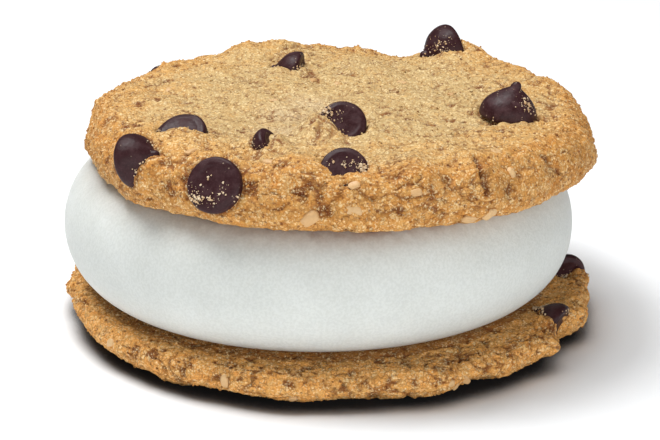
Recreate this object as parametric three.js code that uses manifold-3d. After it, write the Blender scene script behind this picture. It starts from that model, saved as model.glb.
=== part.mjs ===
// Ice cream sandwich: a thick disc of vanilla ice cream between two chocolate chip cookies.
// Millimetres, +Z up, +X to the right, -Y to the front. The origin lies on the floor, under the middle.
import * as THREE from "three";
import { mergeVertices } from "three/addons/utils/BufferGeometryUtils.js";
import Module from "manifold-3d";

const wasm = await Module();
wasm.setup();

// ---------------------------------------------------------------- driving sizes

const CLEARANCE = 0.3; // between two pieces that touch

// A cookie lies in its own frame with its flat side at z = 0 and its crown upwards.
// shoulder: radial depth of the rounding from the widest ring up to the crown.
// heel: radial depth of the rounding from the widest ring down to the flat side.
const UPPER_COOKIE = {
  name: "upper_cookie",
  radius: 43.7,
  thickness: 9.8,
  crown: 0.3,
  rim: 3.0,
  shoulder: 5.4,
  heel: 2.6,
  fineness: 12,
  seed: 71,
  relief: { crown: 0.26, side: 0.34 },
};
const LOWER_COOKIE = {
  name: "lower_cookie",
  radius: 45.7,
  thickness: 6.8,
  crown: 0,
  rim: 2.4,
  shoulder: 8.9,
  heel: 3.4,
  fineness: 11,
  seed: 29,
  relief: { crown: 0, side: 0.34 },
};
const ICE_CREAM = {
  radius: 43.9,
  thickness: 20.6,
  bulge: 7.9, // radial depth of the half-round side
  lean: THREE.MathUtils.degToRad(-1.744), // the top slopes down to the back
  sides: 54,
  arcSteps: 8,
  ripple: { height: 0.12, seed: 13, count: 8, shortest: 24, longest: 50 },
};

// Where the three layers lie over the floor.
const LOWER_AT = new THREE.Vector3(0.2, 0.1, LOWER_COOKIE.thickness);
const ICE_AT = new THREE.Vector3(-2.07, 0, LOWER_COOKIE.thickness + CLEARANCE);
const UPPER_AT = new THREE.Vector3(1.9, 0, ICE_AT.z + ICE_CREAM.thickness + CLEARANCE);

// A chocolate chip is a drop with a flat round base and a nipped tip.
const CHIP = { radius: 4.6, height: 6.4, edge: 0.8, sides: 10, arcSteps: 2 };

// Each chip: centre of its base in the cookie's frame, the way its tip points, its scale, and the
// mound of dough that rises round it.
const UPPER_CHIPS = [
  { name: "chip_front_left", base: [-34.2, -27.0, 7.0], tip: [0.82, -0.47, 0.3], scale: 0.96, mound: 0.3 },
  { name: "chip_front_face", base: [-20.2, -38.9, 6.9], tip: [0.3, 0.84, -0.45], scale: 0.98, mound: 0.4 },
  { name: "chip_crescent", base: [-26.4, -23.8, 10.8], tip: [0.3, 0.5, -0.81], scale: 0.98, mound: 0.6 },
  { name: "chip_sliver", base: [-10.9, -28.8, 10.2], tip: [-0.78, 0.2, -0.56], scale: 0.74, mound: 0.3 },
  { name: "chip_centre", base: [0.2, -21.8, 12.2], tip: [-0.1, 0.76, -0.64], scale: 0.84, mound: 0.7 },
  { name: "chip_half_moon", base: [0.2, -39.6, 9.7], tip: [0.0, 0.75, -0.66], scale: 0.82, mound: 0.5 },
  { name: "chip_back_left", base: [-7.4, 22.6, 8.7], tip: [-0.97, 0.2, 0.12], scale: 0.86, mound: 0.3 },
  { name: "chip_back_rim", base: [20.8, 34.5, 10.2], tip: [-0.85, -0.4, -0.1], scale: 1.08, mound: 2.0 },
  { name: "chip_right", base: [27.5, -10.2, 9.2], tip: [0.2, 0.05, 0.97], scale: 1.06, mound: 0.2 },
  { name: "chip_far_back", base: [-3.0, 43.2, 4.6], tip: [0.1, -0.9, 0.2], scale: 0.88, mound: 0.3 },
  { name: "chip_far_left", base: [-33.4, 27.6, 4.8], tip: [0.75, -0.62, 0.1], scale: 0.9, mound: 0.3 },
];
const LOWER_CHIPS = [
  { name: "chip_rim_top", base: [41.5, -1.6, 1.9], tip: [-0.35, -0.86, -0.1], scale: 0.84, mound: 0.3 },
  { name: "chip_rim_crack", base: [38.0, 20.2, 2.3], tip: [-0.8, -0.45, -0.4], scale: 0.8, mound: 0 },
  { name: "chip_rim_back", base: [-16.5, -41.0, 2.4], tip: [0.3, 0.85, -0.2], scale: 0.86, mound: 0.3 },
  { name: "chip_rim_back_left", base: [-40.6, -16.8, 2.7], tip: [0.9, 0.3, -0.3], scale: 0.84, mound: 0.3 },
  { name: "chip_under_front", base: [-13.0, 19.0, 6.6], tip: [0, 0, -1], scale: 0.84, mound: 0 },
  { name: "chip_under_back", base: [17.5, -15.5, 6.6], tip: [0, 0, -1], scale: 0.88, mound: 0 },
];

// Outline of each cookie: [bearing in degrees, half-width in degrees, height in mm] of each swell or
// dip of the rim, as seen from over the crown.
const UPPER_OUTLINE = [
  [-137, 3, 1.0],
  [-143, 10, 0.4],
  [-118, 8, 0.4],
  [-62, 5, 0.8],
  [8, 18, -1.2],
  [27, 3.5, -1.0],
  [52, 9, 0.5],
  [105, 12, 0.5],
  [172, 12, 0.8],
];
const LOWER_OUTLINE = [
  [177, 3, 1.0],
  [176, 14, 0.3],
  [168, 4, -0.5],
  [37, 3.5, 0.7],
  [28, 5, -3.0],
  [14, 5, 0.5],
  [3, 7, -0.8],
  [-14, 11, -2.4],
  [-75, 12, -0.5],
  [-120, 10, 0.5],
];

// Soft hollows and swells of the crown: [x, y, radius, height].
const UPPER_DIMPLES = [
  [-4.5, -12.5, 7.5, -0.9],
  [-18, 4, 9, 0.35],
  [12, -24, 8, 0.35],
  [18, 12, 9, -0.35],
  [-15.5, 35, 6.5, 1.9],
  [9.5, 38, 7, -1.9],
  [-4.4, -21, 3.6, 1.6],
  [34, 12, 7, 0.3],
];

// Bits of nut: [bearing in degrees, station on the profile, length in mm].
const UPPER_BITS = [
  [-88, 1.92, 2.9],
  [-97, 2.1, 3.4],
  [-136, 1.8, 2.7],
  [-51, 1.58, 1.9],
  [-75, 1.68, 2.0],
  [-58, 2.4, 2.8],
  [-62.5, 2.55, 3.0],
  [-87.6, 1.5, 2.0],
  [-107.4, 1.0, 2.4],
  [-128, 1.06, 2.2],
  [165, 0.8, 2.2],
];
const LOWER_BITS = [
  [112, 1.97, 2.2],
  [143, 2.05, 2.0],
  [64, 1.75, 1.9],
];
const SPARE_BITS = { count: 8, shortest: 1.6, longest: 2.6, seed: 5, clearOfChips: 9, clearOfFloor: 1.2 };

// A bit's half length, half width and half depth as shares of its length.
const BIT_SHAPE = [1 / 2, 1 / 3.2, 1 / 4.2];

// The larger crags of a cookie's skin, and how far the dough rises round a chip.
const CRAGS = { count: 16, shortest: 7, longest: 18 };
const MOUND_SPREAD = 7;

// Stations on a cookie's profile: 0 the middle of the crown, 1 where the shoulder starts, 2 the
// widest ring, 3 where the flat side starts, 4 its middle. Each ends at this polar angle of a ball.
const STATION_ANGLES = [0, 74, 104, 120, 180].map(THREE.MathUtils.degToRad);
const SIDE_RELIEF_FROM = [0.75, 1.25]; // stations over which the side's relief takes over
const HEEL_RELIEF_ENDS = [2.4, 3]; // stations over which it dies out towards the flat side

// ---------------------------------------------------------------- tools

// A repeatable random draw between 0 and 1.
function drawFrom(seed) {
  let state = seed;
  return () => {
    state = (state * 16807) % 2147483647;
    return state / 2147483647;
  };
}

// Rolling relief of unit strength: plane waves in random directions, added up.
function reliefFrom({ seed, count, shortest, longest }) {
  const draw = drawFrom(seed);
  const waves = Array.from({ length: count }, () => {
    const pitch = new THREE.Vector3().setFromSphericalCoords(
      (2 * Math.PI) / (shortest + (longest - shortest) * draw()),
      Math.acos(2 * draw() - 1),
      2 * Math.PI * draw(),
    );
    return { pitch, phase: 2 * Math.PI * draw() };
  });
  const strength = Math.sqrt(2 / count);
  return (point) => {
    const sum = waves.reduce((total, { pitch, phase }) => total + Math.sin(pitch.dot(point) + phase), 0);
    return strength * sum;
  };
}

// 1 at the middle of a soft bump, falling to nothing over about two spreads.
function bump(distance, spread) {
  return Math.exp(-((distance / spread) ** 2));
}

// The geometry with each shared point held once and its collapsed triangles dropped.
function welded(geometry) {
  const bare = geometry.clone();
  bare.deleteAttribute("normal");
  bare.deleteAttribute("uv");
  const shared = mergeVertices(bare, 1e-4);
  const corners = Array.from(shared.index.array);
  const kept = [];
  for (let i = 0; i < corners.length; i += 3) {
    const [a, b, c] = corners.slice(i, i + 3);
    if (a !== b && b !== c && c !== a) kept.push(a, b, c);
  }
  shared.setIndex(kept);
  return shared;
}

function solidOf(geometry) {
  const { position } = geometry.attributes;
  const mesh = new wasm.Mesh({
    numProp: 3,
    vertProperties: new Float32Array(position.array),
    triVerts: new Uint32Array(geometry.index.array),
  });
  return new wasm.Manifold(mesh);
}

function geometryOf(solid) {
  const { vertProperties, triVerts } = solid.getMesh();
  const geometry = new THREE.BufferGeometry();
  geometry.setAttribute("position", new THREE.BufferAttribute(vertProperties, 3));
  geometry.setIndex(new THREE.BufferAttribute(triVerts, 1));
  const faceted = geometry.toNonIndexed();
  faceted.computeVertexNormals();
  return faceted;
}

// The largest body, so that a scrap cut off by a pocket is dropped.
function mainBody(solid) {
  return solid.decompose().reduce((most, body) => (body.volume() > most.volume() ? body : most));
}

function named(name, geometry, material) {
  const mesh = new THREE.Mesh(geometry, material);
  mesh.name = name;
  return mesh;
}

// ---------------------------------------------------------------- chocolate chips

// A chip standing on its base, grown outwards by a clearance where it is used to cut a pocket.
function chipGeometry(scale, growth) {
  const radius = CHIP.radius * scale + growth;
  const foot = -growth;
  const top = CHIP.height * scale + growth;
  const height = top - foot;
  const edge = CHIP.edge * scale;
  const profile = new THREE.Path();
  profile.moveTo(0, foot);
  profile.lineTo(radius - edge, foot);
  profile.quadraticCurveTo(radius, foot, radius, foot + edge);
  profile.bezierCurveTo(
    radius,
    foot + 0.5 * height,
    0.42 * radius,
    foot + 0.6 * height,
    0.2 * radius,
    foot + 0.86 * height,
  );
  profile.quadraticCurveTo(0.16 * radius, top, 0, top);
  const drop = new THREE.LatheGeometry(profile.getPoints(CHIP.arcSteps), CHIP.sides);
  return welded(drop.rotateX(Math.PI / 2));
}

function chipPlacement({ base, tip }) {
  const turn = new THREE.Quaternion().setFromUnitVectors(
    new THREE.Vector3(0, 0, 1),
    new THREE.Vector3(...tip).normalize(),
  );
  return new THREE.Matrix4().compose(new THREE.Vector3(...base), turn, new THREE.Vector3(1, 1, 1));
}

function chipMesh(chip) {
  const chocolate = new THREE.MeshStandardMaterial({ color: 0x3d2626, roughness: 0.5, metalness: 0 });
  const mesh = named(chip.name, chipGeometry(chip.scale, 0), chocolate);
  mesh.applyMatrix4(chipPlacement(chip));
  return mesh;
}

function chipPocket(chip) {
  return solidOf(chipGeometry(chip.scale, CLEARANCE).applyMatrix4(chipPlacement(chip)));
}

// ---------------------------------------------------------------- cookies

function stationAt(polar) {
  const after = STATION_ANGLES.findIndex((angle, i) => i > 0 && polar <= angle + 1e-9);
  const start = STATION_ANGLES[after - 1];
  return after - 1 + (polar - start) / (STATION_ANGLES[after] - start);
}

// Distance from the axis, height, and the way the skin faces (outwards, upwards) at a station.
function profileAt(cookie, radius, station) {
  const { thickness, crown, rim, shoulder, heel } = cookie;
  const turn = (Math.PI / 2) * (station % 1);
  if (station < 1) {
    return [(radius - shoulder) * station, thickness + crown * (1 - station ** 2), 0, 1];
  }
  if (station < 2) {
    const out = Math.sin(turn);
    const up = Math.cos(turn);
    return [radius - shoulder * (1 - out), rim + (thickness - rim) * up, out, up];
  }
  if (station < 3) {
    const out = Math.cos(turn);
    const down = Math.sin(turn);
    return [radius - heel * (1 - out), rim * (1 - down), out, -down];
  }
  return [Math.max(0, (radius - heel) * (4 - station)), 0, 0, -1];
}

function outlineAt(cookie, bearing) {
  return cookie.outline.reduce((radius, [middle, halfWidth, height]) => {
    const off = THREE.MathUtils.euclideanModulo(bearing - middle + 180, 360) - 180;
    return radius + height * bump(off, halfWidth);
  }, cookie.radius);
}

// The point of the cookie's skin at a bearing and a station, with its swells and crags.
function skinPoint(cookie, bearing, station) {
  const radius = outlineAt(cookie, bearing);
  const [out, up, facingOut, facingUp] = profileAt(cookie, radius, station);
  const direction = new THREE.Vector3(
    Math.cos(THREE.MathUtils.degToRad(bearing)),
    Math.sin(THREE.MathUtils.degToRad(bearing)),
    0,
  );
  const point = direction.clone().multiplyScalar(out).setZ(up);
  if (station >= 3) return point;
  const sideShare = THREE.MathUtils.smoothstep(station, ...SIDE_RELIEF_FROM);
  const heelFade = 1 - THREE.MathUtils.smoothstep(station, ...HEEL_RELIEF_ENDS);
  const strength = THREE.MathUtils.lerp(cookie.relief.crown, cookie.relief.side, sideShare);
  const mounds = cookie.chips.reduce((rise, { base, mound }) => {
    return rise + mound * bump(point.distanceTo(new THREE.Vector3(...base)), MOUND_SPREAD);
  }, 0);
  const dimples = cookie.dimples.reduce((rise, [x, y, spread, height]) => {
    return rise + height * bump(Math.hypot(point.x - x, point.y - y), spread) * Math.max(0, facingUp);
  }, 0);
  const rise = (strength * cookie.grain(point) + mounds) * heelFade + dimples;
  point.addScaledVector(direction, facingOut * rise);
  point.z += facingUp * rise;
  if (cookie.restsOnCrown) point.z = Math.min(point.z, cookie.thickness);
  return point;
}

function mouldedBall(cookie) {
  const ball = welded(new THREE.IcosahedronGeometry(1, cookie.fineness));
  const { position } = ball.attributes;
  const spherical = new THREE.Spherical();
  for (let i = 0; i < position.count; i += 1) {
    const vertex = new THREE.Vector3().fromBufferAttribute(position, i);
    const bearing = THREE.MathUtils.radToDeg(Math.atan2(vertex.y, vertex.x));
    spherical.setFromCartesianCoords(vertex.x, vertex.z, -vertex.y);
    const moved = skinPoint(cookie, bearing, stationAt(spherical.phi));
    position.setXYZ(i, moved.x, moved.y, moved.z);
  }
  return ball;
}

// A bit of nut: a flattened crumb lying along the skin, half sunk in it.
function bitSolid(cookie, [bearing, station, length]) {
  const crumb = welded(new THREE.IcosahedronGeometry(1, 0));
  const place = skinPoint(cookie, bearing, station);
  const [, , facingOut, facingUp] = profileAt(cookie, cookie.radius, station);
  const facing = new THREE.Vector3(
    facingOut * Math.cos(THREE.MathUtils.degToRad(bearing)),
    facingOut * Math.sin(THREE.MathUtils.degToRad(bearing)),
    facingUp,
  );
  crumb.scale(...BIT_SHAPE.map((share) => share * length));
  crumb.rotateZ(bearing);
  crumb.applyQuaternion(new THREE.Quaternion().setFromUnitVectors(new THREE.Vector3(0, 0, 1), facing));
  crumb.translate(place.x, place.y, place.z);
  return solidOf(crumb);
}

// More bits over the rest of the cookie, clear of its chips.
function spareBits(cookie) {
  const draw = drawFrom(SPARE_BITS.seed + cookie.seed);
  const bits = [];
  while (bits.length < SPARE_BITS.count) {
    const bearing = 360 * draw();
    const station = 0.3 + 1.6 * draw();
    const length = THREE.MathUtils.lerp(SPARE_BITS.shortest, SPARE_BITS.longest, draw());
    const place = skinPoint(cookie, bearing, station);
    const nearest = Math.min(...cookie.chips.map(({ base }) => place.distanceTo(new THREE.Vector3(...base))));
    const nearFloor = cookie.restsOnCrown && place.z > cookie.thickness - SPARE_BITS.clearOfFloor;
    if (nearest > SPARE_BITS.clearOfChips && !nearFloor) bits.push([bearing, station, length]);
  }
  return bits;
}

function cookieSolid(cookie) {
  const bits = [...cookie.bits, ...spareBits(cookie)];
  const studded = bits.reduce((solid, bit) => solid.add(bitSolid(cookie, bit)), solidOf(mouldedBall(cookie)));
  return mainBody(cookie.chips.reduce((solid, chip) => solid.subtract(chipPocket(chip)), studded));
}

function cookieGroup(cookie) {
  const dough = new THREE.MeshStandardMaterial({ color: 0xd0a468, roughness: 0.85, metalness: 0 });
  const group = new THREE.Group();
  group.add(named(cookie.name, geometryOf(cookieSolid(cookie)), dough));
  cookie.chips.forEach((chip) => group.add(chipMesh(chip)));
  return group;
}

// ---------------------------------------------------------------- ice cream

// A disc with a half-round side whose top leans down to the back.
function iceCreamSolid(cutters) {
  const { radius, thickness, bulge, lean, sides, arcSteps, ripple } = ICE_CREAM;
  const half = thickness / 2;
  const side = new THREE.EllipseCurve(radius - bulge, half, bulge, half, -Math.PI / 2, Math.PI / 2);
  const profile = [
    new THREE.Vector2(0, 0),
    new THREE.Vector2(radius / 2, 0),
    ...side.getPoints(arcSteps),
    new THREE.Vector2(radius / 2, thickness),
    new THREE.Vector2(0, thickness),
  ];
  const disc = welded(new THREE.LatheGeometry(profile, sides).rotateX(Math.PI / 2));
  const { position } = disc.attributes;
  const wave = reliefFrom(ripple);
  for (let i = 0; i < position.count; i += 1) {
    const point = new THREE.Vector3().fromBufferAttribute(position, i);
    const share = point.z / thickness;
    const free = Math.sin(Math.PI * share); // the ripple dies out at the top and at the bottom
    const swell = 1 + (ripple.height * free * wave(point)) / radius;
    const rise = share * point.y * Math.tan(lean);
    position.setXYZ(i, point.x * swell, point.y * swell, point.z + rise);
  }
  return mainBody(cutters.reduce((solid, cutter) => solid.subtract(cutter), solidOf(disc)));
}

// ---------------------------------------------------------------- the sandwich

const upper = cookieGroup({
  ...UPPER_COOKIE,
  outline: UPPER_OUTLINE,
  dimples: UPPER_DIMPLES,
  chips: UPPER_CHIPS,
  bits: UPPER_BITS,
  grain: reliefFrom({ ...CRAGS, seed: UPPER_COOKIE.seed }),
  restsOnCrown: false,
});
upper.position.copy(UPPER_AT);
upper.rotation.x = ICE_CREAM.lean;

// The lower cookie lies upside down: its flat side carries the ice cream and its crown rests on the floor.
const lower = cookieGroup({
  ...LOWER_COOKIE,
  outline: LOWER_OUTLINE,
  dimples: [],
  chips: LOWER_CHIPS,
  bits: LOWER_BITS,
  grain: reliefFrom({ ...CRAGS, seed: LOWER_COOKIE.seed }),
  restsOnCrown: true,
});
lower.position.copy(LOWER_AT);
lower.rotation.x = Math.PI;
lower.updateMatrixWorld(true);

// The ice cream closes round the chip that stands up from the lower rim.
const iceFrame = new THREE.Matrix4().setPosition(ICE_AT).invert();
const pressedIn = chipGeometry(LOWER_CHIPS[0].scale, CLEARANCE)
  .applyMatrix4(chipPlacement(LOWER_CHIPS[0]))
  .applyMatrix4(lower.matrixWorld)
  .applyMatrix4(iceFrame);
const vanilla = new THREE.MeshStandardMaterial({ color: 0xe4e8e4, roughness: 0.45, metalness: 0 });
const iceCream = named("ice_cream", geometryOf(iceCreamSolid([solidOf(pressedIn)])), vanilla);
iceCream.position.copy(ICE_AT);

const sandwich = new THREE.Group();
sandwich.add(lower, iceCream, upper);
export default sandwich;
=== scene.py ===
"""Ice cream sandwich: the finished cookies, chips, nuts, crumbs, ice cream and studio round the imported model.

Shapes are worked out in millimetres and turned into metres when a mesh is made. Each cookie has its own
frame, with its flat side at z = 0 and its crown upwards; a placing turns it into the object's frame.
"""

import math
from itertools import combinations
from types import SimpleNamespace as Sizes

import bpy
import numpy as np
from bpy.props import FloatProperty, FloatVectorProperty, IntProperty, PointerProperty
from bpy.types import Operator, Panel, PropertyGroup
from mathutils import Matrix, Vector
from mathutils.bvhtree import BVHTree


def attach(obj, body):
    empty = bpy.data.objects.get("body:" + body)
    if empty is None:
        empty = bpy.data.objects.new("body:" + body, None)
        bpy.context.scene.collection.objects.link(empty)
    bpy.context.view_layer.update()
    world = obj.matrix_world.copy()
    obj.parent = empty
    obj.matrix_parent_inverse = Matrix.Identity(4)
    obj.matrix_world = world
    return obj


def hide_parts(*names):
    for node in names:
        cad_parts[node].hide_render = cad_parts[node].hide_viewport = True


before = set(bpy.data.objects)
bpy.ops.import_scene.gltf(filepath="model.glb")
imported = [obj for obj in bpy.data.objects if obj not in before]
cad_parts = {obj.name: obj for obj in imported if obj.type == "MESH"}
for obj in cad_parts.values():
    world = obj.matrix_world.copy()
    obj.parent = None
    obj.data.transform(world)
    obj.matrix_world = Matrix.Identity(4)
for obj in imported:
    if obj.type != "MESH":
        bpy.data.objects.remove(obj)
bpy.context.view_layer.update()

bl_info = {
    "name": "Ice Cream Sandwich",
    "version": (1, 0, 0),
    "blender": (4, 5, 0),
    "location": "View3D > Sidebar > Sandwich",
    "description": "Bakes, fills and lights an ice cream sandwich with chocolate chip cookies",
    "category": "Object",
}

MM = 0.001

# -------- driving sizes, in mm

LEAN = -1.744  # degrees by which the upper cookie tips down to the back

# shoulder and heel: radial depth of the rounding above and below the widest ring, at height rim.
# spread: polar angle of a ball, in degrees, at which each station of the profile lies.
UPPER = Sizes(
    piece="dough_upper", node="upper_cookie", rests_on_crown=False, at=(1.9, 0.0, 28.0), turn=LEAN,
    radius=43.7, thickness=9.8, crown=0.3, rim=3.0, shoulder=5.4, heel=2.6, relief=(0.26, 0.34),
    seed=71, fineness=99, spread=((0, 96, 129, 148, 180), (0, 1, 2, 3, 4)),
)
LOWER = Sizes(
    piece="dough_lower", node="lower_cookie", rests_on_crown=True, at=(0.2, 0.1, 6.8), turn=180.0,
    radius=45.7, thickness=6.8, crown=0.0, rim=2.4, shoulder=8.9, heel=3.4, relief=(0.0, 0.34),
    seed=29, fineness=97, spread=((0, 38, 82, 112, 150, 180), (0, 1, 2, 3, 3.2, 4)),
)
# Stations between which the side's relief starts and ends, and the colours of the rim and of the side set in.
SIDE_RELIEF_FROM = (0.75, 1.25)
HEEL_RELIEF_ENDS = (2.4, 3.0)
RIM_SPAN = (0.5, 1.25)
SIDE_SPAN = (0.9, 1.4)
MOUND_SPREAD = 7.0
CRAGS = {"count": 16, "shortest": 7.0, "longest": 18.0}
# How far apart the parts of the fine relief lie.
APART = Sizes(
    lumps=5.2, bumps=2.3, crags=6.0, curds=2.3, knots=4.6, small_curds=1.25,
    grains=1.0, pores=2.3, small_pores=1.35, creases=3.0,
)

# Outline: (bearing in degrees, half-width in degrees, height) of each swell or dip of the rim.
UPPER.outline = (
    (-137, 3, 1.0), (-143, 10, 0.4), (-118, 8, 0.4), (-62, 5, 0.8), (8, 18, -1.2), (27, 3.5, -1.0), (52, 9, 0.5),
    (105, 12, 0.5), (172, 12, 0.8),
)
LOWER.outline = (
    (177, 3, 1.0), (176, 14, 0.3), (168, 4, -0.5), (37, 3.5, 0.7), (28, 5, -3.0), (14, 5, 0.5), (3, 7, -0.8),
    (-14, 11, -2.4), (-75, 12, -0.5), (-120, 10, 0.5),
)
# Soft hollows and swells of the crown: (x, y, radius, height).
UPPER.dimples = (
    (-4.5, -12.5, 7.5, -0.9), (-18, 4, 9, 0.35), (12, -24, 8, 0.35), (18, 12, 9, -0.35), (-15.5, 35, 6.5, 1.9),
    (9.5, 38, 7, -1.9), (-4.4, -21, 3.6, 1.6), (34, 12, 7, 0.3),
)
LOWER.dimples = ()

# Chips: (CAD node, centre of the base, way the tip points, scale, mound of dough round it).
UPPER.chips = (
    ("chip_front_left", (-34.2, -27.0, 7.0), (0.82, -0.47, 0.3), 0.96, 0.3),
    ("chip_front_face", (-20.2, -38.9, 6.9), (0.3, 0.84, -0.45), 0.98, 0.4),
    ("chip_crescent", (-26.4, -23.8, 10.8), (0.3, 0.5, -0.81), 0.98, 0.6),
    ("chip_sliver", (-10.9, -28.8, 10.2), (-0.78, 0.2, -0.56), 0.74, 0.3),
    ("chip_centre", (0.2, -21.8, 12.2), (-0.1, 0.76, -0.64), 0.84, 0.7),
    ("chip_half_moon", (0.2, -39.6, 9.7), (0.0, 0.75, -0.66), 0.82, 0.5),
    ("chip_back_left", (-7.4, 22.6, 8.7), (-0.97, 0.2, 0.12), 0.86, 0.3),
    ("chip_back_rim", (20.8, 34.5, 10.2), (-0.85, -0.4, -0.1), 1.08, 2.0),
    ("chip_right", (27.5, -10.2, 9.2), (0.2, 0.05, 0.97), 1.06, 0.2),
    ("chip_far_back", (-3.0, 43.2, 4.6), (0.1, -0.9, 0.2), 0.88, 0.3),
    ("chip_far_left", (-33.4, 27.6, 4.8), (0.75, -0.62, 0.1), 0.9, 0.3),
)
LOWER.chips = (
    ("chip_rim_top", (41.5, -1.6, 1.9), (-0.35, -0.86, -0.1), 0.84, 0.3),
    ("chip_rim_crack", (38.0, 20.2, 2.3), (-0.8, -0.45, -0.4), 0.8, 0.0),
    ("chip_rim_back", (-16.5, -41.0, 2.4), (0.3, 0.85, -0.2), 0.86, 0.3),
    ("chip_rim_back_left", (-40.6, -16.8, 2.7), (0.9, 0.3, -0.3), 0.84, 0.3),
    ("chip_under_front", (-13.0, 19.0, 6.6), (0, 0, -1), 0.84, 0.0),
    ("chip_under_back", (17.5, -15.5, 6.6), (0, 0, -1), 0.88, 0.0),
)
# The ring in the flat of a chip has its depth in mm, and the places where it lies as shares of the radius.
CHIP = Sizes(
    radius=4.6, height=6.4, edge=0.8, sides=64, base_points=14, reach=12,
    ring_depth=0.13, ring_at=0.74, ring_width=0.07, ring_ends=0.82,
)

# Bits of nut: (bearing in degrees, station on the profile, length).
UPPER.bits = (
    (-88, 1.92, 2.9), (-97, 2.1, 3.4), (-136, 1.8, 2.7), (-51, 1.58, 1.9), (-75, 1.68, 2.0), (-58, 2.4, 2.8),
    (-62.5, 2.55, 3.0), (-87.6, 1.5, 2.0), (-107.4, 1.0, 2.4), (-128, 1.06, 2.2), (165, 0.8, 2.2),
)
LOWER.bits = ((112, 1.97, 2.2), (143, 2.05, 2.0), (64, 1.75, 1.9))
SPARE_BITS = Sizes(count=8, shortest=1.6, longest=2.6, seed=5, clear_of_chips=9, clear_of_floor=1.2)
NUT_SHAPE = (1 / 2, 1 / 3.2, 1 / 4.6)  # half sizes, as shares of the length
NUT_SUNK = 0.14

# Marks left by baking: (x, y, z, radius, depth). Pits are burnt brown; pores are small and deep, with painted shade
# in them.
UPPER.pits = (
    (-25.0, -35.9, 7.0, 1.5, 0.5), (-15.4, -37.6, 9.0, 1.0, 0.4), (-14.5, -40.2, 6.5, 1.7, 0.5),
    (-6.5, -42.9, 6.6, 1.3, 0.6), (-5.0, -42.6, 7.9, 1.0, 0.4), (-2.8, -43.4, 4.0, 1.4, 0.6),
    (-3.8, -25.1, 10.7, 0.9, 0.6), (-4.9, -22.9, 11.5, 0.8, 0.5), (23.7, 8.8, 10.0, 1.5, 0.5),
    (24.8, -14.6, 10.0, 1.6, 0.6), (33.0, -11.2, 9.7, 1.3, 0.5), (33.1, -17.6, 9.8, 1.0, 0.9),
    (7.1, -9.9, 10.4, 1.2, 0.5), (14.6, -15.5, 10.1, 1.5, 0.4), (18.5, -3.6, 10.0, 0.9, 0.4),
    (-38.6, -19.1, 5.1, 0.9, 0.6), (16.3, -38.9, 7.7, 1.0, 0.5), (-34.3, -3.1, 10.2, 1.5, 0.3),
    (-26.6, -1.3, 10.1, 1.3, 0.3), (-35.3, -15.5, 9.7, 1.5, 0.3),
)
UPPER.pores = (
    (20.2, -13.6, 9.9, 0.6, 0.9), (9.4, 5.7, 10.1, 0.5, 0.5), (8.7, -43.3, 4.0, 0.8, 0.7),
    (4.4, -42.9, 6.0, 0.6, 0.5), (-8.4, -23.3, 10.6, 0.6, 0.6), (-19.7, -10.4, 10.0, 0.55, 0.5),
    (-21.2, -0.7, 9.9, 0.6, 0.4),
)
LOWER.pits = (
    (18.5, 38.6, 0.2, 1.5, 0.4), (21.0, 36.9, 0.2, 1.7, 0.4), (16.5, 41.3, 0.6, 1.0, 0.6),
    (-23.3, 38.8, 1.2, 0.8, 0.5),
)
LOWER.pores = (
    (-27.3, 34.4, 0.3, 0.7, 0.6), (-18.3, 41.8, 2.2, 0.8, 0.6), (-12.1, 44.0, 1.5, 0.6, 0.6),
    (-6.9, 45.2, 1.9, 0.8, 0.6),
)
# Cracks and creases: (from, to, half-width, depth, browning).
UPPER.cracks = (
    ((20.8, -33.9, 9.8), (21.8, -36.9, 8.0), 0.5, 0.9, 0.8),
    ((21.8, -36.9, 8.0), (22.8, -38.4, 5.4), 0.6, 1.0, 0.8), ((4.3, 15.8, 10.4), (7.1, 15.2, 10.4), 0.45, 0.5, 0.3),
    ((-2.0, 17.3, 10.1), (1.0, 16.8, 10.1), 0.6, 0.4, 0.5), ((11.0, 21.5, 9.7), (15.5, 21.8, 9.7), 0.5, 0.4, 0.2),
    ((0.2, -42.3, 8.3), (2.8, -42.6, 8.0), 0.35, 0.5, 0.2), ((28.5, -1.8, 9.9), (36.8, -1.2, 9.9), 0.5, 0.4, 0.2),
    ((33.5, 2.6, 9.9), (39.0, 0.5, 9.2), 0.5, 0.5, 0.2), ((34.4, -9.4, 9.9), (40.4, -10.6, 8.6), 0.55, 0.6, 0.3),
    ((32.0, -27.9, 8.4), (35.2, -26.0, 4.8), 0.45, 0.5, 0.2),
    ((-9.9, -39.2, 10.4), (-7.0, -39.6, 10.0), 0.4, 0.4, 0.3),
    ((-5.9, 21.0, 10.0), (-4.4, 13.0, 10.0), 0.6, 0.35, 0.4),
    ((-10.2, 32.6, 11.0), (-7.4, 37.0, 10.0), 0.6, 0.5, 0.5),
)
LOWER.cracks = (
    ((-42.3, 12.6, 0.2), (-42.0, 15.2, 2.4), 0.5, 0.5, 0.1), ((41.6, 13.8, -0.2), (43.4, 16.6, 3.4), 0.5, 0.7, 0.1),
)
# Floury hollows: (x, y, radius, depth).
UPPER.floury = (
    (-9.2, -8.4, 4.6, 0.45), (-10.0, -18.6, 4.2, 0.5), (-5.6, -2.0, 4.5, 0.25), (-2.2, -12.0, 4.0, 0.3),
)
LOWER.floury = ()
# Stretches of the side where the crust is smooth: (bearing, half-width, share).
UPPER.calm = ((-25, 32, 0.75), (-160, 25, 0.5))
LOWER.calm = ((150, 25, 0.4),)
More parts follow.
